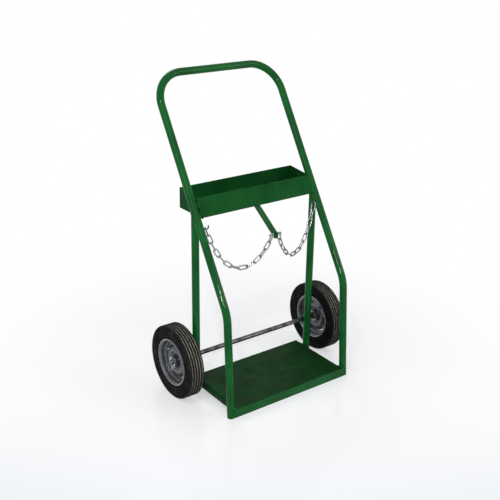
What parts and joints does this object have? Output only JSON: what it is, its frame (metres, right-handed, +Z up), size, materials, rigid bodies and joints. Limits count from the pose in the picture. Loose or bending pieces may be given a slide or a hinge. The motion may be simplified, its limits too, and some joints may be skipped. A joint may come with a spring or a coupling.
{
  "type": "gas cylinder trolley",
  "caption": "Two-wheeled trolley of bent steel tube with a deck for gas cylinders, a tool tray, a divider and hanging retaining chains.",
  "frame": {"origin": "middle of the bounding box on the floor", "axes": "+Z up, -Y to the front where the deck and the legs are, +X to the right seen from the front, along the axle"},
  "size_m": [0.6578, 0.4676, 1.039],
  "materials": {
    "frame_paint": "gloss",
    "sheet_paint": "gloss",
    "zinc": "bright",
    "axle_steel": "satin",
    "bearing_steel": "polished",
    "tyre_rubber": "matte",
    "rim_paint": "satin"
  },
  "bodies": {
    "frame": {"handle_loop": "frame_paint", "left_upright": "frame_paint", "right_upright": "frame_paint", "deck_plate": "sheet_paint", "front_angle": "frame_paint", "tray_trough": "sheet_paint", "left_tray_end": "sheet_paint", "right_tray_end": "sheet_paint", "divider_bar": "frame_paint", "keeper_pin": "zinc", "left_chain_hook": "frame_paint", "right_chain_hook": "frame_paint", "axle": "axle_steel", "left_axle_lug": "frame_paint", "right_axle_lug": "frame_paint", "left_axle_collar": "axle_steel", "right_axle_collar": "axle_steel", "left_axle_washer": "zinc", "right_axle_washer": "zinc", "left_cotter_pin": "zinc", "right_cotter_pin": "zinc", "left_bearing_cones": "bearing_steel", "right_bearing_cones": "bearing_steel"},
    "left_hanging_chain": {"left_chain": "zinc"},
    "right_hanging_chain": {"right_chain": "zinc"},
    "left_wheel": {"left_tyre": "tyre_rubber", "left_outer_rim": "rim_paint", "left_inner_rim": "rim_paint", "left_rim_rivets": "zinc", "left_hub": "rim_paint", "left_bearing_cups": "bearing_steel", "left_bearing_balls": "bearing_steel"},
    "right_wheel": {"right_tyre": "tyre_rubber", "right_outer_rim": "rim_paint", "right_inner_rim": "rim_paint", "right_rim_rivets": "zinc", "right_hub": "rim_paint", "right_bearing_cups": "bearing_steel", "right_bearing_balls": "bearing_steel"}
  },
  "joints": [
    {"name": "left_wheel_spin", "type": "hinge", "parent": "frame", "child": "left_wheel", "pos_m": [-0.301, 0.00183, 0.125], "axis": [1, 0, 0], "continuous": true},
    {"name": "right_wheel_spin", "type": "hinge", "parent": "frame", "child": "right_wheel", "pos_m": [0.301, 0.00183, 0.125], "axis": [1, 0, 0], "continuous": true},
    {"name": "left_chain_swing", "type": "hinge", "parent": "frame", "child": "left_hanging_chain", "pos_m": [-0.2206, -0.0496, 0.588], "axis": [-0.9288, 0.3175, 0.191], "range_deg": [-60, 60]},
    {"name": "right_chain_swing", "type": "hinge", "parent": "frame", "child": "right_hanging_chain", "pos_m": [0.2206, -0.0496, 0.588], "axis": [-0.9288, -0.3175, -0.191], "range_deg": [-60, 60]}
  ]
}
